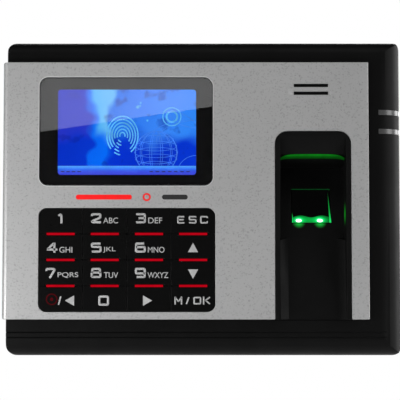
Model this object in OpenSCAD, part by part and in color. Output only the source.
// Fingerprint scanner terminal: a wall unit with a display, a sixteen-key pad and a finger well.
// Units are millimetres. X runs right, Z up, and the wall is the plane Y = 0, so a depth d
// measured forward from the wall is Y = -d. The origin is the middle of the four wall screws.

/* [Housing] */
// Width of the black housing
body_w = 187; // [180:1:230]
// Height of the black housing
body_h = 149.4; // [146:0.2:182]
// Corner radius seen from the front
corner_r = 4.8; // [3:0.1:8]
// Thickness of the moulded walls
wall = 2.2; // [1.8:0.1:2.7]
// Depth of the line where the two shells meet
parting_d = 24; // [23.6:0.1:24.4]
// Depth of the black front surface round the panel
band_d = 34.8; // [34.4:0.1:35.2]
// Width of the rounded right shoulder
shoulder_w = 11; // [8:0.5:13]
// Height of the rounded top edge
brow_h = 7; // [5:0.5:9]
// Height of the rounded bottom edge
chin_h = 8.5; // [6:0.5:10]
// Width of the two fine lines across the chin
chin_line = 0.5; // [0.3:0.1:0.8]

/* [Silver panel] */
// Thickness of the panel
panel_t = 2.5; // [2:0.1:3]
// Depth of the panel's front face
panel_d = 38; // [37.8:0.1:38.4]
// Black band above the panel
band_top = 10.83; // [9:0.1:14]
// Black band below the panel
band_bottom = 17.16; // [15:0.1:20]
// Black band right of the panel
band_right = 16.05; // [14:0.1:20]
// Thickness of the return that wraps round the left side
return_t = 1.5; // [1.2:0.1:2]
// Depth at which that return ends
return_d = 20; // [16:0.5:23]
// Outer radius of the bend at the left edge
bend_r = 2.4; // [1.8:0.1:3]
// Gap between the panel and the shells' side
panel_gap = 0.2; // [0.1:0.05:0.4]

/* [Display] */
// Width of the black lens opening
lens_w = 82.04; // [80:0.1:90]
// Height of the black lens opening
lens_h = 51.59; // [51:0.1:60]
// Corner radius of the lens opening
lens_r = 4.3; // [3:0.1:6]
// Distance from the panel's left edge to the lens opening
lens_left = 17.15; // [15:0.1:20]
// Distance from the panel's top edge to the lens opening
lens_top = 7.06; // [6:0.1:9]
// Width of the lit area
lcd_w = 65.3; // [60:0.1:66]
// Height of the lit area
lcd_h = 40.5; // [38:0.1:41]
// Thickness of the lens
lens_t = 1.6; // [1.2:0.1:2]
// Thickness of the sealing gasket under the lens
gasket_t = 0.7; // [0.5:0.1:0.8]

/* [Keypad] */
// Centre distance of the key columns
key_pitch_x = 20.775; // [18:0.1:21]
// Centre distance of the key rows
key_pitch_z = 12.2; // [11.5:0.1:12.4]
// Gap between keys and round the pad
key_gap = 0.3; // [0.25:0.05:0.5]
// Corner radius of the keypad opening
pad_r = 3.8; // [3:0.1:5]
// Distance from the panel's bottom edge to the keypad opening
pad_bottom = 3.5; // [3:0.1:6]
// Travel of a key
key_travel = 0.8; // [0.5:0.05:0.9]
// Thickness of a key cap
cap_t = 1.5; // [1.2:0.1:1.6]
// Width of a red light bar
bar_w = 13.2; // [10:0.1:14]
// Height of a red light bar
bar_h = 1.1; // [0.8:0.1:1.5]

/* [Finger well] */
// Width of the well opening
well_w = 35.88; // [35:0.1:40]
// Height of the well opening
well_h = 88.69; // [86:0.1:95]
// Distance from the panel's right edge to the well opening
well_right = 8.35; // [7:0.1:12]
// Corner radius at the top of the well
well_r = 6; // [4:0.1:8]
// Width of the rim round the well
well_rim = 2.2; // [1.8:0.1:2.6]
// Width of the flat finger ramp
ramp_w = 23.1; // [20:0.1:26]
// Width of the sensor's glass face
glass_w = 18.6; // [16:0.1:19]
// Length of the sensor's glass face
glass_l = 17.4; // [15:0.1:18]
// Angle between the glass face and the vertical
glass_tilt = 16.7; // [14:0.1:19]

/* [Speaker and status lights] */
// Radius of the speaker
speaker_r = 14; // [12:0.1:14.5]
// Length of a speaker slot
slot_l = 16.3; // [14:0.1:20]
// Height of a speaker slot
slot_h = 1.6; // [1.2:0.1:2]
// Height of a status light
light_h = 2.4; // [2:0.1:3]
// Centre distance of the two status lights
light_pitch = 9; // [8:0.1:10]

/* [Wall mounting] */
// Distance between the wall screws, across
screw_span_x = 100; // [80:1:110]
// Distance between the wall screws, up
screw_span_z = 70; // [60:1:78]
// Radius of a wall screw hole
wall_hole_r = 2.25; // [2:0.05:2.6]
// Thickness of the wall plate
plate_t = 1.5; // [1.2:0.1:1.6]
// Width of the wall plate
plate_w = 140; // [136:1:170]
// Width of the cable bay
bay_w = 90; // [80:1:92]
// Height of the cable bay
bay_h = 26.7; // [24:0.1:28]

/* [Screws and boards] */
// Shank radius of a housing screw
shell_screw_r = 1.4; // [1.2:0.05:1.6]
// Shank radius of a board screw
board_screw_r = 0.95; // [0.8:0.05:1.1]
// Clearance round a screw shank
screw_clear = 0.3; // [0.2:0.05:0.4]
// Thickness of a circuit board
board_t = 1.6; // [1.2:0.1:1.6]
// Fit between parts that slip together
fit = 0.15; // [0.1:0.05:0.2]

/* [Hidden] */
$fn = 48;
arc_steps = 10;
past = 1;                                   // how far a cut runs past a face

// Housing edges
left = -body_w / 2;
right = body_w / 2;
top = body_h / 2;
bottom = -body_h / 2;
rim_d = 0.5;                                // back edge of the rear cover's skirt
back_d = 2.5;                               // back face of the rear cover's back wall
floor_d = back_d + wall;                    // inside face of that wall
seat_d = panel_d - panel_t;                 // face that the panel lies on
skin_d = seat_d - wall;                     // inside face of the front wall
curve_d = parting_d + 1.2;                  // depth where the rounded edges begin

// Silver panel edges
panel_x0 = left - panel_gap - return_t;
panel_x1 = right - band_right;
panel_z0 = bottom + band_bottom;
panel_z1 = top - band_top;

// Display places and depths
lens_x0 = panel_x0 + lens_left;
lens_x1 = lens_x0 + lens_w;
lens_z1 = panel_z1 - lens_top;
lens_z0 = lens_z1 - lens_h;
lcd_x = lens_x0 + lens_w / 2 + 0.38;
lcd_z = lens_z0 + lens_h / 2 - 0.265;
lens_d = seat_d + gasket_t;
lcd_margin_x = 1.6;
lcd_margin_z = 1.55;
frame_rim = 2.25;
lcd_front = seat_d - 0.1;
lcd_back = lcd_front - 1.4;
frame_w = lcd_w + 2 * (lcd_margin_x + frame_rim);
frame_h = lcd_h + 2 * (lcd_margin_z + frame_rim);
frame_back = lcd_front - 3.8;
bracket_t = 1;
ear_x = frame_w / 2 + 4.5;
ear_z = frame_h / 2 - 5;

// Keypad places and depths
columns = 4;
rows = 4;
pad_x0 = lens_x0;
pad_x1 = pad_x0 + columns * key_pitch_x;
pad_z0 = panel_z0 + pad_bottom;
pad_z1 = pad_z0 + rows * key_pitch_z;
key_top = panel_d + 0.05;
cap_back = key_top - cap_t;
guide_t = 1.2;
guide_back = skin_d - guide_t;
mat_t = 1.3;
mat_back = guide_back - mat_t;
mat_rim = 1.8;
pad_board_front = mat_back - mat_rim;
pad_board_back = pad_board_front - board_t;
dome_h = 0.3;
stem_tip = pad_board_front + dome_h + key_travel + fit;
stem_w = 9;
stem_h = 4;
pad_screw_x = 3.44;                         // boss centres outside the opening
pad_screw_z = 3;                            // boss centres inside the opening's height
pad_ribbon_z = pad_z0 + 36;

// Finger well places and depths
well_x1 = panel_x1 - well_right;
well_x0 = well_x1 - well_w;
well_x = (well_x0 + well_x1) / 2 - 0.16;
well_z1 = panel_z0 + well_h;
well_face = panel_d + 0.3;
well_lip = 0.8;                             // how far the flange laps the housing
cavity_x0 = well_x0 + well_rim + fit;
cavity_x1 = well_x1 - well_rim - fit;
glass_z = panel_z0 + 54.09;                 // middle of the glass face
glass_d = 24.5;
ramp_top_z = panel_z0 + 38.5;
ramp_top_d = 29.2;
ramp_end_d = 35.5;
ramp_angle = atan((ramp_end_d - ramp_top_d) / (ramp_top_z - panel_z0));
ramp_edge = 2.3;                            // height of the sloping edges beside the ramp
lip_z = well_z1 - 10.35;
lip_d = 34.2;
glass_back = 7.4;                           // depths behind the glass face, square to it
sensor_back = 11;
sensor_board_t = 1.2;
sensor_w = glass_w + 4.4;
sensor_over = 1.6;                          // how far the sensor's body runs past the glass, above
sensor_under = 2.4;                         // and below
camera_half = 1.7;                          // half the width of the camera chip
led_x = 5.05;

// Speaker and status lights
speaker_x = well_x0 + 17.2;
speaker_z = panel_z1 - 12.75;
speaker_tab_d = skin_d - 6.2;               // back of the speaker's terminal tab
slot_pitch = 3.7;
scoop_w = 25;
scoop_h = 5.8;
light_x0 = right - 10.9;
light_z = top - 38.8;
light_back = parting_d + 4;
light_board_front = parting_d + 2;
light_board_t = 1.2;
light_board_gap = 0.3;                      // between the indicator board and the cover's tongue
light_screw_gap = 9;                        // its screws, beyond the lights
light_x = right - 7.1;

// Rear cover and bay
bay_x0 = -bay_w / 2 - 5;
bay_x1 = bay_x0 + bay_w;
bay_z1 = bottom + bay_h;
bay_d = parting_d - wall;
tube_r = 4.5;
head_seat = 16;                             // depth of the housing screws' seats
corner_in = 9;                              // housing screws' distance from the edges
brow_screw = [16, top - 8];                 // screw in the middle of the top edge
bay_screw_gap = 6;                          // screw beside the cable bay, from its wall
shell_screws = [
    [left + corner_in, top - corner_in], brow_screw, [right - corner_in, top - corner_in],
    [left + corner_in, bottom + corner_in], [bay_x1 + bay_screw_gap, bottom + corner_in],
    [right - corner_in, bottom + corner_in]
];
shell_boss_r = 4;                           // front bosses that the housing screws bite into
small_boss_r = 2;                           // bosses of the keypad and indicator boards
bracket_boss_r = 2.2;                       // bosses of the display bracket
speaker_ring_h = 3.3;                       // collar that the speaker sits in
peg_r = 1.2;                                // pegs that locate the silver panel
peg_past = 0.6;                             // how far they reach past the front wall
peg_left = 5.5;                             // peg centres, from the panel's edges
peg_right = 4;
peg_low = 5.5;
peg_high = 5.9;
head_well_r = 3.2;                          // wells in the cover for the screw heads
tongue_h = 1.4;                             // how far the cover's tongue enters the front housing
tongue_root = 3;                            // how far it reaches back inside the cover
tongue_in = 1.2;                            // its inner face, from the walls' inner face's line
chin_line_low = 8.7;                        // lower chin line, from the bottom edge
chin_line_pitch = 2.4;                      // distance between the two chin lines
chin_line_depth = 0.5;
shell_screw_tip = parting_d + 5;

// Main board and what stands on it
main_back = floor_d + 1.8;
main_front = main_back + board_t;
main_x0 = left + 23.5;
main_x1 = right - 5.5;
main_z0 = bay_z1 + wall + 0.3;
main_z1 = top - 34.7;
main_screws = [
    [main_x0 + 6, main_z1 - 6], [main_x1 - 6, main_z1 - 6],
    [main_x0 + 6, main_z0 + 5.5], [main_x1 - 6, main_z0 + 3.6]
];
main_post_r = 3;                            // posts that the main board stands on
processor_x = lcd_x + 25.65;
processor_z = 4;
processor_w = 18;
memory_x = processor_x + 21;
memory_z = [14, -6];
relay_x = -43;
relay_z = main_z0 + 14.5;
sounder_z = 30;                             // transformer above the memory chips
capacitor_x = [36, 44];
capacitor_z = main_z0 + 13.5;
capacitor_r = 3.2;
capacitor_h = 7;
driver_x = -62;
driver_z = -14;
connector_h = 4;                            // height of the ribbon connectors
connector_t = 2;                            // how far they stand off the board
jack_face = bay_z1 + 0.2;
jack_clear = 0.25;
ethernet_x = -22;
ethernet_size = [16, 13.4, 16];
power_x = 19;
power_size = [9, 11, 14];
power_bore_r = 3.1;
terminal_x = -1;
terminal_size = [24, 10, 10];
terminal_ways = 6;
usb_z = bottom + 44.7;
usb_size = [14.3, 5.9, 13.2];
usb_x1 = right - wall - 0.5;
cell_x = main_x0 + 26;
cell_z = main_z1 - 17;
cell_r = 10;
cell_t = 3.2;
cell_floor = 0.8;                           // thickness of the holder under the cell
holder_h = 3.4;

// Tamper and reset switches on the back of the main board
tamper_x = -58;
tamper_z = 10;
tamper_r = 1.5;
tamper_travel = 0.5;
reset_x = right - 21.5;
reset_z = 0;
reset_r = 0.9;
reset_travel = 0.25;

// Wall plate
plate_z0 = bottom + 8.7;
plate_z1 = top - 14.7;
window_w = 48;                              // access window in the middle of the plate
window_h = 44;
cable_window_in = 6;                        // cable window's ends, from the bay's sides
cable_window_low = 4;
cable_window_high = 16;
hook_x = 40;
hook_z = top - 24.7;
hook_half = 5;
hook_t = 2;
hook_rise = 4;
hook_gap = 0.5;
hook_front = floor_d + 1.9;
hook_slot_h = 7;                            // slot in the cover, tall enough for a hook to enter
lock_tab_half = 6;
lock_x = bay_x1 + 22;
lock_d = 9;
lock_tab_z = bottom + 10.2;
lock_r = 1.45;

// ---- Shape helpers ----

// Points on an elliptical arc round [cx, cy]
function arc(cx, cy, rx, ry, a0, a1) =
    [for (i = [0:arc_steps]) let (a = a0 + (a1 - a0) * i / arc_steps) [cx + rx * cos(a), cy + ry * sin(a)]];

// Outline of a rectangle with rounded corners
function round_box(x0, x1, z0, z1, r) = concat(
    arc(x1 - r, z1 - r, r, r, 0, 90), arc(x0 + r, z1 - r, r, r, 90, 180),
    arc(x0 + r, z0 + r, r, r, 180, 270), arc(x1 - r, z0 + r, r, r, 270, 360));

// Outline of the housing, drawn in by an inset
function body_outline(inset) =
    round_box(left + inset, right - inset, bottom + inset, top - inset, max(corner_r - inset, 0.6));

// Direction of a path at point i, and its left-hand normal
function heading(path, i) =
    let (a = path[max(i - 1, 0)], b = path[min(i + 1, len(path) - 1)]) (b - a) / norm(b - a);
function beside(path, i, t) = let (h = heading(path, i)) path[i] + t * [-h[1], h[0]];

// Outline of a strip of thickness t along a path
function strip(path, t) = concat(
    [for (i = [0:len(path) - 1]) beside(path, i, t / 2)],
    [for (i = [len(path) - 1:-1:0]) beside(path, i, -t / 2)]);

// An outline in X and Z, made solid between two depths
module slab(d0, d1) {
    translate([0, -d0, 0]) rotate([90, 0, 0]) linear_extrude(d1 - d0) children();
}

// An outline in Y and Z, made solid between two X
module along_x(x0, x1) {
    translate([x0, 0, 0]) rotate([90, 0, 90]) linear_extrude(x1 - x0) children();
}

// An outline in X and Y, made solid between two Z
module along_z(z0, z1) {
    translate([0, 0, z0]) linear_extrude(z1 - z0) children();
}

// A block between two depths
module block(x0, x1, z0, z1, d0, d1) {
    translate([x0, -d1, z0]) cube([x1 - x0, d1 - d0, z1 - z0]);
}

// A cylinder square to the wall
module post(x, z, r, d0, d1) {
    translate([x, -d0, z]) rotate([90, 0, 0]) cylinder(r = r, h = d1 - d0);
}

// An outline in radius and depth, turned round an axis square to the wall
module turned(x, z) {
    translate([x, 0, z]) rotate([90, 0, 0]) rotate_extrude() children();
}

// A pan-head screw: head behind the seat, shank forward of it
module screw(x, z, seat, head_r, head_h, shank_r, length) {
    post(x, z, head_r, seat - head_h, seat);
    difference() {
        post(x, z, head_r * 0.86, seat - head_h - 0.5, seat - head_h);
        for (a = [0, 90]) translate([x, 0, z]) rotate([0, a, 0])
            block(-head_r * 0.55, head_r * 0.55, -0.3, 0.3, seat - head_h - past, seat - head_h + 0.3);
    }
    post(x, z, shank_r, seat, seat + length);
}

// ---- Wall plate ----

module wall_plate() {
    color("gainsboro") difference() {
        union() {
            slab(0, plate_t)
                polygon(round_box(-plate_w / 2, plate_w / 2, plate_z0, plate_z1, 3));
            for (x = [-hook_x, hook_x]) {
                block(x - hook_half, x + hook_half, hook_z - hook_t, hook_z, plate_t, hook_front);
                block(x - hook_half, x + hook_half, hook_z - hook_t, hook_z + hook_rise,
                      floor_d + hook_gap, hook_front);
            }
            block(lock_x - lock_tab_half, lock_x + lock_tab_half, lock_tab_z, lock_tab_z + plate_t,
                  plate_t, lock_d + 5);
        }
        for (x = [-1, 1], z = [-1, 1])
            post(x * screw_span_x / 2, z * screw_span_z / 2, wall_hole_r, -past, plate_t + past);
        slab(-past, plate_t + past)
            polygon(round_box(bay_x0 + cable_window_in, bay_x1 - cable_window_in,
                              plate_z0 + cable_window_low, plate_z0 + cable_window_high, 2));
        slab(-past, plate_t + past)
            polygon(round_box(-window_w / 2, window_w / 2, -window_h / 2, window_h / 2, 4));
        translate([lock_x, -lock_d, lock_tab_z - past]) cylinder(r = lock_r + 0.05, h = plate_t + 2 * past);
    }
}

// ---- Rear cover ----

module rear_cover() {
    color("#1c1c1e") difference() {
        union() {
            difference() {
                slab(rim_d, parting_d) polygon(body_outline(0));
                slab(floor_d, parting_d + past) polygon(body_outline(wall));
                slab(rim_d - past, back_d) polygon(body_outline(wall));
            }
            tongue();
            difference() {
                block(bay_x0 - wall, bay_x1 + wall, bottom + wall - 1, bay_z1 + wall, back_d, bay_d + wall);
                block(bay_x0, bay_x1, bottom - past, bay_z1, back_d - past, bay_d);
            }
            for (p = shell_screws) post(p[0], p[1], tube_r, back_d, parting_d);
            for (p = main_screws) post(p[0], p[1], main_post_r, back_d, main_back);
            block(lock_x - 4.5, lock_x + 4.5, bottom + 1, bottom + 7.5, back_d, lock_d + 5.5);
        }
        block(bay_x0, bay_x1, bottom - past, bay_z1, rim_d - past, bay_d);
        jack_cutouts();
        for (p = shell_screws) {
            post(p[0], p[1], head_well_r, back_d - past, head_seat);
            post(p[0], p[1], shell_screw_r + screw_clear, head_seat - past, parting_d + past);
        }
        for (p = main_screws) post(p[0], p[1], board_screw_r, main_front - 4.8, main_back + past);
        for (x = [-hook_x, hook_x])
            block(x - hook_half - hook_gap, x + hook_half + hook_gap, hook_z - hook_slot_h, hook_z + 0.1,
                  back_d - past, floor_d + past);
        block(lock_x - lock_tab_half - 0.6, lock_x + lock_tab_half + 0.6, bottom + 8, bottom + 14,
              back_d - past, floor_d + past);
        translate([lock_x, -lock_d, bottom - past]) {
            cylinder(r = lock_r + screw_clear, h = 12);
            cylinder(r = 3.1, h = 3 + past);
        }
        post(tamper_x, tamper_z, tamper_r + screw_clear, back_d - past, floor_d + past);
        post(reset_x, reset_z, reset_r, back_d - past, floor_d + past);
        along_x(right - wall - past, right + past)
            polygon([for (p = usb_mouth(0.5)) [-p[0], p[1]]]);
    }
}

// Tongue that locates the front housing
module tongue() {
    difference() {
        union() {
            slab(parting_d - tongue_root, parting_d) polygon(body_outline(wall - 0.2));
            slab(parting_d, parting_d + tongue_h) polygon(body_outline(wall + fit));
        }
        slab(parting_d - tongue_root - past, parting_d + tongue_h + past)
            polygon(body_outline(wall + tongue_in));
    }
}

// Depth and Z outline of the USB socket's shell, with a margin
function usb_mouth(m) = let (d0 = main_front - m, d1 = main_front + usb_size[1] + m, h = usb_size[2] / 2 + m)
    [[d0, usb_z - h], [d1, usb_z - h], [d1, usb_z + h], [d0, usb_z + h]];

module jack_cutouts() {
    for (j = [[ethernet_x, ethernet_size], [power_x, power_size], [terminal_x, terminal_size]])
        block(j[0] - j[1][0] / 2 - jack_clear, j[0] + j[1][0] / 2 + jack_clear,
              bay_z1 - past, bay_z1 + wall + past,
              main_front - jack_clear, main_front + j[1][1] + jack_clear);
}

// ---- Front housing ----

// Rounded solid of the front housing; the inner one leaves the wall
module shell_solid(inset, front) {
    rise = front - curve_d;
    intersection() {
        slab(parting_d - (inset > 0 ? past : 0), front) polygon(body_outline(inset));
        along_x(left - past, right + past) polygon([for (p = concat(
            [[parting_d - 2, bottom + inset]],
            arc(curve_d, bottom + chin_h, rise, chin_h - inset, -90, 0),
            arc(curve_d, top - brow_h, rise, brow_h - inset, 0, 90),
            [[parting_d - 2, top - inset]])) [-p[0], p[1]]]);
        along_z(bottom - past, top + past) polygon([for (p = concat(
            [[parting_d - 2, right - inset]],
            [for (q = shoulder(inset, rise)) [q[1], q[0]]],
            [[front, left + inset], [parting_d - 2, left + inset]])) [p[1], -p[0]]]);
    }
}

// X and depth points of the right shoulder, from its side to its front
function shoulder(inset, rise) = arc(right - shoulder_w, curve_d, shoulder_w - inset, rise, 0, 90);

module front_housing() {
    color("#1c1c1e") difference() {
        union() {
            difference() {
                union() {
                    shell_solid(0, band_d);
                    slab(band_d - past, seat_d)
                        polygon(round_box(left + 0.8, panel_x1 - 0.6, panel_z0 + 0.6, panel_z1 - 0.6, 1));
                }
                shell_solid(wall, skin_d);
            }
            intersection() {
                for (p = shell_screws) post(p[0], p[1], shell_boss_r, parting_d, skin_d + past);
                shell_solid(0, band_d - 0.5);
            }
            for (p = pad_bosses()) post(p[0], p[1], small_boss_r, pad_board_front, skin_d + past);
            for (p = bracket_bosses()) post(p[0], p[1], bracket_boss_r, frame_back, skin_d + past);
            for (z = light_screws()) post(light_x, z, small_boss_r, light_board_front, skin_d - 1.2);
            difference() {
                post(speaker_x, speaker_z, speaker_r + 1.4, skin_d - speaker_ring_h, skin_d + past);
                post(speaker_x, speaker_z, speaker_r + 0.2, skin_d - speaker_ring_h - past, skin_d);
            }
        }
        display_cutout();
        key_cutouts();
        well_cutout();
        speaker_slots(skin_d - past, seat_d + past, 0.15);
        for (s = [0, 1]) light_slot(s);
        for (z = [bottom + chin_line_low, bottom + chin_line_low + chin_line_pitch])
            block(left - past, right + past, z - chin_line / 2, z + chin_line / 2,
                  band_d - chin_line_depth, panel_d);
        for (p = shell_screws) post(p[0], p[1], shell_screw_r, parting_d - past, shell_screw_tip + 0.5);
        for (p = pad_bosses())
            post(p[0], p[1], board_screw_r, pad_board_front - past, pad_board_back + 5);
        for (p = bracket_bosses())
            post(p[0], p[1], board_screw_r, frame_back - past, frame_back - bracket_t + 4.6);
        for (z = light_screws())
            post(light_x, z, board_screw_r, light_board_front - past, light_board_front + 3.8);
        for (p = panel_pegs()) post(p[0], p[1], peg_r + fit, skin_d - past, seat_d + past);
    }
}

function pad_bosses() = [for (x = [pad_x0 - pad_screw_x, pad_x1 + pad_screw_x],
                              z = [pad_z0 + pad_screw_z, pad_z1 - pad_screw_z]) [x, z]];
function bracket_bosses() = [for (x = [-1, 1], z = [-1, 1]) [lcd_x + x * ear_x, lcd_z + z * ear_z]];
function light_screws() = [for (s = [-1, 1]) light_z + s * (light_pitch / 2 + light_screw_gap)];
function panel_pegs() = [for (x = [left + peg_left, panel_x1 - peg_right],
                              z = [panel_z0 + peg_low, panel_z1 - peg_high]) [x, z]];

module display_cutout() {
    block(lcd_x - frame_w / 2 - fit, lcd_x + frame_w / 2 + fit,
          lcd_z - frame_h / 2 - fit, lcd_z + frame_h / 2 + fit, skin_d - past, seat_d + past);
}

module key_cutouts() {
    slab(skin_d - past, seat_d + past) {
        stem_grid(key_gap);
        bar_grid(fit);
    }
}

module well_cutout() {
    block(well_x0 + well_lip, well_x1 - well_lip, panel_z0 - 0.3, well_z1 - well_lip,
          skin_d - past, seat_d + past);
}

module light_slot(s) {
    z = light_z + (s - 0.5) * light_pitch;
    block(light_x0 - 0.1, right + past, z - light_h / 2 - 0.05, z + light_h / 2 + 0.05,
          curve_d - 0.1, band_d + past);
}

// ---- Silver panel ----

module front_panel() {
    inner_r = bend_r - return_t;
    color("silver") difference() {
        intersection() {
            along_z(panel_z0, panel_z1) polygon(concat(
                [[panel_x1, -seat_d], [panel_x1, -panel_d]],
                [for (p = arc(panel_x0 + bend_r, panel_d - bend_r, bend_r, bend_r, 90, 180)) [p[0], -p[1]]],
                [[panel_x0, -return_d], [panel_x0 + return_t, -return_d]],
                [for (p = arc(panel_x0 + bend_r, seat_d - inner_r, inner_r, inner_r, 180, 90))
                    [p[0], -p[1]]]));
            slab(return_d - past, panel_d + past)
                polygon(round_box(panel_x0, panel_x1 + corner_r, panel_z0, panel_z1, 1));
        }
        slab(seat_d - past, panel_d + past) {
            polygon(round_box(lens_x0, lens_x1, lens_z0, lens_z1, lens_r));
            polygon(round_box(pad_x0, pad_x1, pad_z0, pad_z1, pad_r));
            polygon(concat(arc(well_x1 - well_r, well_z1 - well_r, well_r, well_r, 0, 90),
                           arc(well_x0 + well_r, well_z1 - well_r, well_r, well_r, 90, 180),
                           [[well_x0, panel_z0 - past], [well_x1, panel_z0 - past]]));
        }
        speaker_scoop();
        speaker_slots(seat_d - past, panel_d + past, 0);
    }
    color("silver") for (p = panel_pegs()) post(p[0], p[1], peg_r, skin_d - peg_past, seat_d);
}

// Shallow scoop with ramped ends round the speaker slots
module speaker_scoop() {
    along_z(speaker_z - scoop_h / 2, speaker_z + scoop_h / 2) polygon([
        [speaker_x - scoop_w / 2, -panel_d], [speaker_x - slot_l / 2 - 1, 1.1 - panel_d],
        [speaker_x + slot_l / 2 + 1, 1.1 - panel_d], [speaker_x + scoop_w / 2, -panel_d],
        [speaker_x + scoop_w / 2, -panel_d - past], [speaker_x - scoop_w / 2, -panel_d - past]]);
}

module speaker_slots(d0, d1, margin) {
    for (s = [-1, 1]) slab(d0, d1) translate([speaker_x, speaker_z + s * slot_pitch / 2])
        square([slot_l + 2 * margin, slot_h + 2 * margin], center = true);
}

// ---- Display ----

module display_lens() {
    color("#101012") slab(lens_d, lens_d + lens_t)
        polygon(round_box(lens_x0 + fit, lens_x1 - fit, lens_z0 + fit, lens_z1 - fit, lens_r - fit));
}

module display_gasket() {
    edge = 0.4;
    color("#202020") difference() {
        slab(seat_d, lens_d) polygon(round_box(lens_x0 + edge, lens_x1 - edge, lens_z0 + edge, lens_z1 - edge,
                                               lens_r - edge));
        display_cutout();
    }
}

// Rectangle centred on the display
module lcd_block(w, h, d0, d1) {
    block(lcd_x - w / 2, lcd_x + w / 2, lcd_z - h / 2, lcd_z + h / 2, d0, d1);
}

module display_panel() {
    color("royalblue")
        lcd_block(lcd_w + 2 * lcd_margin_x, lcd_h + 2 * lcd_margin_z, lcd_back, lcd_front);
}

module display_frame() {
    color("dimgray") difference() {
        lcd_block(frame_w, frame_h, frame_back, lcd_front);
        lcd_block(frame_w - 2 * frame_rim + 0.2, frame_h - 2 * frame_rim + 0.2, lcd_back, lcd_front + past);
        lcd_block(frame_w - 12, frame_h - 12, lcd_back - 1.2, lcd_back + past);
    }
}

module display_bracket() {
    color("lightgray") difference() {
        union() {
            lcd_block(frame_w - 4, frame_h - 4, frame_back - bracket_t, frame_back);
            for (z = [-1, 1]) block(lcd_x - ear_x - 3, lcd_x + ear_x + 3, lcd_z + z * ear_z - 3,
                                    lcd_z + z * ear_z + 3, frame_back - bracket_t, frame_back);
        }
        for (p = bracket_bosses()) post(p[0], p[1], board_screw_r + screw_clear,
                                        frame_back - bracket_t - past, frame_back + past);
        lcd_block(frame_w - 26, frame_h - 22, frame_back - bracket_t - past, frame_back + past);
    }
}

module display_ribbon() {
    z = lcd_z - frame_h / 2;
    path = [[frame_back + 0.8, z], [frame_back + 0.8, z - 1], [frame_back - 1, z - 2.7],
            [frame_back - 8, z - 3], [main_front + 6, z - 2.2], [main_front + 3.5, z - 2],
            [main_front + 2, z - 2]];
    color("peru") along_x(lcd_x - 13, lcd_x + 13) polygon([for (p = strip(path, 0.3)) [-p[0], p[1]]]);
}

// ---- Keypad ----

function column_x(c) = pad_x0 + (c + 0.5) * key_pitch_x;
function row_z(r) = pad_z1 - (r + 0.5) * key_pitch_z;

// Rectangles where the key stems pass through, with a margin
module stem_grid(margin) {
    for (c = [0:columns - 1], r = [0:rows - 1]) translate([column_x(c), row_z(r)])
        square([stem_w + 2 * margin, stem_h + 2 * margin], center = true);
}

// Rectangles of the light bars between the rows, with a margin
module bar_grid(margin) {
    for (c = [0:columns - 1], r = [1:rows - 1]) translate([column_x(c), pad_z1 - r * key_pitch_z])
        square([bar_w + 2 * margin, bar_h + 2 * margin], center = true);
}

// A key in column c and row r: a cap shaped by its place in the pad, and a stem
module key(c, r) {
    color("#111113") {
        slab(cap_back, key_top) difference() {
            intersection() {
                translate([column_x(c), row_z(r)])
                    square([key_pitch_x - key_gap, key_pitch_z - key_gap], center = true);
                polygon(round_box(pad_x0 + key_gap, pad_x1 - key_gap, pad_z0 + key_gap, pad_z1 - key_gap,
                                  pad_r - key_gap));
            }
            bar_grid(key_gap);
        }
        slab(stem_tip, cap_back) translate([column_x(c), row_z(r)]) square([stem_w, stem_h], center = true);
    }
}

module keypad_light_guide() {
    color("darkred") {
        slab(guide_back, skin_d) difference() {
            polygon(round_box(pad_x0 + 0.2, pad_x1 - 0.2, pad_z0 + 0.2, pad_z1 - 0.2, 2));
            stem_grid(key_gap + 0.1);
        }
        slab(skin_d, key_top - 0.15) bar_grid(0);
    }
}

module keypad_mat() {
    color("#303033") difference() {
        slab(pad_board_front, guide_back) polygon(round_box(pad_x0 - 0.2, pad_x1 + 0.2, pad_z0, pad_z1, 2));
        slab(pad_board_front - past, mat_back)
            polygon(round_box(pad_x0 + 2, pad_x1 - 2, pad_z0 + 2, pad_z1 - 2, 1));
        slab(mat_back - past, guide_back + past) stem_grid(key_gap);
    }
}

module key_domes() {
    color("silver") for (c = [0:columns - 1], r = [0:rows - 1]) turned(column_x(c), row_z(r)) polygon(
        [[0, pad_board_front], [2.5, pad_board_front], [1.7, pad_board_front + 0.2],
         [0, pad_board_front + dome_h]]);
}

module keypad_board() {
    color("darkgreen") difference() {
        slab(pad_board_back, pad_board_front)
            polygon(round_box(pad_x0 - 6.4, pad_x1 + 6.4, pad_z0 - 1, pad_z1 + 0.8, 1.5));
        for (p = pad_bosses()) post(p[0], p[1], board_screw_r + screw_clear,
                                    pad_board_back - past, pad_board_front + past);
    }
}

module keypad_ribbon() {
    z = pad_ribbon_z;
    path = [[pad_board_back, z], [pad_board_back - 1, z], [pad_board_back - 4, z + 0.6],
            [pad_board_back - 8, z + 2.2], [main_front + 7, z + 2.2], [main_front + 3.5, z + 1],
            [main_front + 2, z + 1]];
    color("peru") along_x(pad_x0 + 34, pad_x0 + 50) polygon([for (p = strip(path, 0.3)) [-p[0], p[1]]]);
}

// ---- Finger well and sensor ----

// Depth of the tilted back wall of the well at height z
function slope_d(z) = glass_d - (z - glass_z) * tan(glass_tilt);

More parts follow.
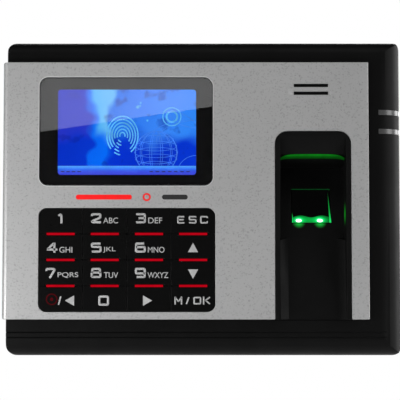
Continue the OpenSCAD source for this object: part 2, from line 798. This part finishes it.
module finger_well() {
    side = well_lip + fit;
    color("#161618") difference() {
        union() {
            slab(seat_d, well_face) polygon(concat(
                arc(well_x1 - well_r, well_z1 - well_r, well_r - fit, well_r - fit, 0, 90),
                arc(well_x0 + well_r, well_z1 - well_r, well_r - fit, well_r - fit, 90, 180),
                [[well_x0 + fit, panel_z0 - 0.2], [well_x1 - fit, panel_z0 - 0.2]]));
            along_x(well_x0 + side, well_x1 - side) polygon([for (p = well_back()) [-p[0], p[1]]]);
        }
        along_x(cavity_x0, cavity_x1) polygon([for (p = well_air()) [-p[0], p[1]]]);
        finger_ramp();
        at_glass() translate([-glass_w / 2 - fit, -2, -glass_l / 2 - fit])
            cube([glass_w + 2 * fit, 8, glass_l + 2 * fit]);
    }
}

// Outside of the well behind the panel, as depth and height
function well_back() = let (t = 1.9, roof = lip_z - 3.4) [
    [seat_d, well_z1 - well_lip - fit], [seat_d - 3, well_z1 - well_lip - fit],
    [lip_d - 4, lip_z], [slope_d(roof) - t, roof], [slope_d(ramp_top_z + 5) - t, ramp_top_z + 5],
    [ramp_top_d - t, ramp_top_z], [ramp_end_d - t, panel_z0 - 0.2], [seat_d, panel_z0 - 0.2]];

// Hollow above the ramp: hood face, hood underside, and the tilted wall that holds the glass
function well_air() = [
    [well_face + past, well_z1 - well_rim], [well_face, well_z1 - well_rim], [lip_d, lip_z],
    [lip_d - 2.7, lip_z - 2.75], [slope_d(lip_z - 5.8), lip_z - 5.8],
    [slope_d(ramp_top_z + 5), ramp_top_z + 5], [ramp_top_d, ramp_top_z],
    [well_face - 0.2, ramp_top_z - 4], [well_face + past, ramp_top_z - 4]];

// Channel that the finger lies in: a flat floor between sloping edges
module finger_ramp() {
    half = (cavity_x1 - cavity_x0) / 2;
    translate([(cavity_x0 + cavity_x1) / 2, -ramp_top_d, ramp_top_z]) rotate([-ramp_angle, 0, 0])
        translate([0, 0, -50]) linear_extrude(56) polygon([
            [-ramp_w / 2, 0], [ramp_w / 2, 0], [half, -ramp_edge], [half, -20],
            [-half, -20], [-half, -ramp_edge]]);
}

// Frame of the glass face: its middle is the origin, and -Y points at the finger
module at_glass() {
    translate([well_x, -glass_d, glass_z]) rotate([-glass_tilt, 0, 0]) children();
}

// A Y and Z outline made solid across X, in the frame of the glass face
module at_glass_solid(half_w) {
    at_glass() rotate([90, 0, 90]) translate([0, 0, -half_w]) linear_extrude(2 * half_w) children();
}

module sensor_prism() {
    h = glass_l / 2;
    color("teal") at_glass_solid(glass_w / 2) polygon([
        [0, h], [0, -h], [1.2, -h], [1.2, 2.7 - h], [4.6, 2.7 - h], [glass_back, 6 - h],
        [glass_back, h - 3], [3.5, h]]);
}

module sensor_housing() {
    h = glass_l / 2;
    color("#1a1a1a") difference() {
        at_glass_solid(sensor_w / 2) polygon([
            [2.1, -h - sensor_under], [sensor_back, -h - sensor_under],
            [sensor_back, h + sensor_over], [2.1, h + sensor_over]]);
        at_glass_solid(glass_w / 2 + 0.2) polygon([
            [2, -h - 0.2], [4.8, -h - 0.2], [glass_back + 0.1, 5.8 - h], [glass_back + 0.1, h - 2.8],
            [3.7, h + 0.2], [2, h + 0.2]]);
        at_glass() rotate([-90, 0, 0]) cylinder(r = 2.6, h = sensor_back + past);
    }
}

module sensor_lens() {
    color("lightblue") at_glass() translate([0, glass_back + 0.4, 0]) rotate([-90, 0, 0])
        cylinder(r = 2.55, h = 1.8);
}

module sensor_board() {
    h = glass_l / 2;
    color("darkgreen") at_glass_solid(sensor_w / 2) polygon([
        [sensor_back, -h - sensor_under], [sensor_back + sensor_board_t, -h - sensor_under],
        [sensor_back + sensor_board_t, h + sensor_over], [sensor_back, h + sensor_over]]);
    color("dimgray") at_glass_solid(camera_half) polygon([
        [sensor_back - 0.8, -camera_half], [sensor_back, -camera_half],
        [sensor_back, camera_half], [sensor_back - 0.8, camera_half]]);
}

module sensor_leds() {
    z = -glass_l / 2;
    color("lime") for (x = [-led_x, led_x]) at_glass() {
        translate([x - 1.4, 2.2, z - 0.2]) cube([2.8, 1.7, 2.4]);
        translate([x, 1.5, z + 1.1]) rotate([-90, 0, 0]) cylinder(r = 0.9, h = 0.7);
    }
}

module sensor_lead() {
    low = glass_l / 2 + sensor_under;
    back = sensor_back + sensor_board_t - 0.1;
    d = glass_d - back * cos(glass_tilt) + low * sin(glass_tilt);
    z = glass_z - back * sin(glass_tilt) - low * cos(glass_tilt);
    path = [[d, z - 0.1], [d - 1.2, z - 3.2], [main_front + 5, z - 7], [main_front + 2, z - 8]];
    color("peru") along_x(well_x - 4, well_x + 4) polygon([for (p = strip(path, 0.3)) [-p[0], p[1]]]);
}

// ---- Speaker ----

module speaker_basket() {
    r = speaker_r;
    color("dimgray") {
        turned(speaker_x, speaker_z) polygon([
            [r, skin_d], [r, skin_d - 1.5], [r - 1.8, skin_d - 1.6], [r - 3.6, skin_d - 7.7],
            [r - 6, skin_d - 8.7], [0, skin_d - 8.7], [0, skin_d - 7.7], [r - 6.4, skin_d - 7.7],
            [r - 4.5, skin_d - 6.7], [r - 2.7, skin_d - 1], [r - 2.2, skin_d]]);
        block(speaker_x - 3.2, speaker_x + 3.2, speaker_z - r - 1, speaker_z - r + 3,
              speaker_tab_d, speaker_tab_d + 1);
    }
}

module speaker_cone() {
    r = speaker_r - 2.6;
    color("#2a2a2a") turned(speaker_x, speaker_z) polygon([
        [r, skin_d - 0.3], [r - 1.6, skin_d - 0.1], [r / 2.4, skin_d - 3.6], [r / 5, skin_d - 2.7],
        [0, skin_d - 2.4], [0, skin_d - 2.9], [r / 5, skin_d - 3.2], [r / 2.5, skin_d - 4.2],
        [r - 1.7, skin_d - 0.6], [r, skin_d - 0.7]]);
}

module speaker_magnet() {
    color("silver") post(speaker_x, speaker_z, speaker_r - 5.6, skin_d - 14.4, skin_d - 8.7);
}

module speaker_lead() {
    z = speaker_z - speaker_r;
    path = [[speaker_tab_d, z + 0.2], [speaker_tab_d - 1.5, z + 0.2], [speaker_tab_d - 5, z - 1],
            [main_front + 6, z - 2.8], [main_front + 3.5, z - 3], [main_front + 2, z - 3]];
    color("red") for (x = [-1.2, 1.2]) along_x(speaker_x + x - 0.5, speaker_x + x + 0.5)
        polygon([for (p = strip(path, 1)) [-p[0], p[1]]]);
}

// ---- Status lights ----

// Light pipe that lies flush in the shoulder, with a leg down to its lamp
module status_light(s) {
    z = light_z + (s - 0.5) * light_pitch;
    outer = shoulder(-0.1, band_d - curve_d + 0.1);
    inner = shoulder(wall - 0.1, skin_d - curve_d + 0.1);
    color("dimgray") {
        along_z(z - light_h / 2, z + light_h / 2) difference() {
            polygon([for (p = concat(outer, [for (i = [len(inner) - 1:-1:0]) inner[i]])) [p[0], -p[1]]]);
            translate([light_x0 - 20, -panel_d]) square([20, panel_d]);
        }
        block(light_x - 1.3, light_x + 1.3, z - light_h / 2, z + light_h / 2, light_back, skin_d - 1.4);
    }
}

module indicator_board() {
    color("darkgreen") difference() {
        block(light_x - 4, right - wall - tongue_in - light_board_gap,
              light_screws()[0] - 3, light_screws()[1] + 3,
              light_board_front - light_board_t, light_board_front);
        for (z = light_screws()) post(light_x, z, board_screw_r + screw_clear,
                                      light_board_front - light_board_t - past, light_board_front + past);
    }
    color("white") for (s = [-0.5, 0.5])
        post(light_x, light_z + s * light_pitch, 1.2, light_board_front, light_back - 0.3);
}

// ---- Main board ----

module main_board() {
    color("darkgreen") difference() {
        slab(main_back, main_front) polygon(round_box(main_x0, main_x1, main_z0, main_z1, 1));
        for (p = main_screws)
            post(p[0], p[1], board_screw_r + screw_clear, main_back - past, main_front + past);
    }
}

// A part standing on the front of the main board
module chip(x, z, w, h, t) {
    block(x - w / 2, x + w / 2, z - h / 2, z + h / 2, main_front, main_front + t);
}

// A connector that a ribbon or lead goes into
module connector(x, z, w) {
    chip(x, z, w, connector_h, connector_t);
}

module board_components() {
    color("#222222") {
        chip(processor_x, processor_z, processor_w, processor_w, 1.6);
        for (z = memory_z) chip(memory_x, z, 12, 9, 1.1);
        chip(driver_x, driver_z, 8, 12, 1.2);
        connector(lcd_x, lcd_z - frame_h / 2 - 2, 30);
        connector(pad_x0 + 42, pad_ribbon_z + 1, 18);
        connector(speaker_x, speaker_z - speaker_r - 3, 8);
        connector(well_x, glass_z - 24.2, 12);
    }
    color("royalblue") chip(relay_x, relay_z, 19, 14, 10);
    color("silver") {
        chip(memory_x - 2, sounder_z, 11, 4, 3);
        for (x = capacitor_x) post(x, capacitor_z, capacitor_r, main_front, main_front + capacitor_h);
    }
}

// A jack whose mouth faces down into the cable bay
module jack_body(x, size) {
    block(x - size[0] / 2, x + size[0] / 2, jack_face, jack_face + size[2], main_front, main_front + size[1]);
}

module ethernet_jack() {
    d = main_front + ethernet_size[1] / 2;
    color("lightgray") difference() {
        jack_body(ethernet_x, ethernet_size);
        block(ethernet_x - 5.9, ethernet_x + 5.9, jack_face - past, jack_face + 12, d - 4, d + 2.9);
        block(ethernet_x - 3, ethernet_x + 3, jack_face - past, jack_face + 12, d - past, d + 5.2);
    }
    color("gold") for (i = [0:7])
        block(ethernet_x + (i - 3.5) * 1.02 - 0.2, ethernet_x + (i - 3.5) * 1.02 + 0.2,
              jack_face + 5, jack_face + 12, d - 4, d - 3.2);
}

module power_jack() {
    d = main_front + power_size[1] / 2;
    color("#202020") difference() {
        jack_body(power_x, power_size);
        translate([power_x, -d, jack_face - past]) cylinder(r = power_bore_r, h = 9.5 + past);
    }
    color("silver") translate([power_x, -d, jack_face + 1.5]) cylinder(r = 1, h = 9);
}

module terminal_block() {
    pitch = terminal_size[0] / terminal_ways;
    color("seagreen") difference() {
        jack_body(terminal_x, terminal_size);
        for (i = [0:terminal_ways - 1]) {
            x = terminal_x + (i - (terminal_ways - 1) / 2) * pitch;
            block(x - 1.2, x + 1.2, jack_face - past, jack_face + 6, main_front + 2, main_front + 5);
            post(x, jack_face + 6.2, 1.4, main_front + 6, main_front + terminal_size[1] + past);
        }
    }
}

module usb_socket() {
    x0 = usb_x1 - usb_size[0];
    color("silver") difference() {
        along_x(x0, usb_x1) polygon([for (p = usb_mouth(0)) [-p[0], p[1]]]);
        along_x(x0 + 0.8, usb_x1 + past) polygon([for (p = usb_mouth(-0.35)) [-p[0], p[1]]]);
    }
    color("white") block(x0 + 0.8, usb_x1 - 5, usb_z - 5.6, usb_z + 5.6,
                         main_front + usb_size[1] - 2.6, main_front + usb_size[1] - 0.8);
}

module coin_cell() {
    color("silver") post(cell_x, cell_z, cell_r, main_front + cell_floor, main_front + cell_floor + cell_t);
}

module coin_cell_holder() {
    color("#262626") difference() {
        union() {
            post(cell_x, cell_z, cell_r + 1.5, main_front, main_front + holder_h);
            block(cell_x - cell_r - 3, cell_x + cell_r + 3, cell_z - 3, cell_z + 3,
                  main_front, main_front + holder_h);
        }
        post(cell_x, cell_z, cell_r + 0.1, main_front + cell_floor, main_front + holder_h + past);
    }
}

// ---- Switches on the back of the main board ----

module tamper_switch() {
    color("#303030") difference() {
        block(tamper_x - 3, tamper_x + 3, tamper_z - 3, tamper_z + 3, floor_d + 0.15, main_back);
        post(tamper_x, tamper_z, tamper_r + 0.06, floor_d - past, main_back + past);
    }
}

module tamper_plunger() {
    color("white") post(tamper_x, tamper_z, tamper_r, plate_t + 0.1, main_back - tamper_travel - 0.1);
}

module reset_switch() {
    color("#303030") difference() {
        block(reset_x - 2.4, reset_x + 2.4, reset_z - 2.4, reset_z + 2.4, floor_d + 0.7, main_back);
        post(reset_x, reset_z, reset_r + 0.06, floor_d - past, main_back + past);
    }
}

module reset_button() {
    color("white") post(reset_x, reset_z, reset_r, floor_d + 0.3, main_back - reset_travel - 0.1);
}

// ---- Screws ----

module board_screws() {
    color("silver") {
        for (p = main_screws) board_screw(p[0], p[1], main_front, -1);
        for (p = pad_bosses()) board_screw(p[0], p[1], pad_board_back, 1);
        for (p = bracket_bosses()) board_screw(p[0], p[1], frame_back - bracket_t, 1);
        for (z = light_screws()) board_screw(light_x, z, light_board_front - light_board_t, 1);
    }
}

// A board screw driven towards the front (1) or towards the wall (-1)
module board_screw(x, z, seat, way) {
    translate([0, -seat, 0]) mirror([0, way > 0 ? 0 : 1, 0]) translate([0, seat, 0])
        screw(x, z, seat, 2 * board_screw_r + 0.1, 1.2, board_screw_r - 0.02, 4.4);
}

module housing_screws() {
    color("dimgray") for (p = shell_screws)
        screw(p[0], p[1], head_seat, 2.9, 2, shell_screw_r - 0.02, shell_screw_tip - head_seat);
}

module locking_screw() {
    color("dimgray") translate([lock_x, -lock_d, bottom]) {
        difference() {
            translate([0, 0, 0.3]) cylinder(r = 2.8, h = 2.7);
            translate([0, 0, -past]) cylinder(r = 1.25, h = 2.9, $fn = 6);
        }
        cylinder(r = lock_r, h = lock_tab_z - bottom + 4);
    }
}

wall_plate();
rear_cover();
front_housing();
front_panel();
display_lens();
display_gasket();
display_panel();
display_frame();
display_bracket();
display_ribbon();
key(0, 0);  // key_1
key(1, 0);  // key_2
key(2, 0);  // key_3
key(3, 0);  // key_escape
key(0, 1);  // key_4
key(1, 1);  // key_5
key(2, 1);  // key_6
key(3, 1);  // key_up
key(0, 2);  // key_7
key(1, 2);  // key_8
key(2, 2);  // key_9
key(3, 2);  // key_down
key(0, 3);  // key_power_left
key(1, 3);  // key_0
key(2, 3);  // key_right
key(3, 3);  // key_menu_ok
keypad_light_guide();
keypad_mat();
key_domes();
keypad_board();
keypad_ribbon();
finger_well();
sensor_prism();
sensor_housing();
sensor_lens();
sensor_board();
sensor_leds();
sensor_lead();
speaker_basket();
speaker_cone();
speaker_magnet();
speaker_lead();
status_light(1);  // status_light_upper
status_light(0);  // status_light_lower
indicator_board();
main_board();
board_components();
ethernet_jack();
power_jack();
terminal_block();
usb_socket();
coin_cell();
coin_cell_holder();
tamper_switch();
tamper_plunger();
reset_switch();
reset_button();
board_screws();
housing_screws();
locking_screw();
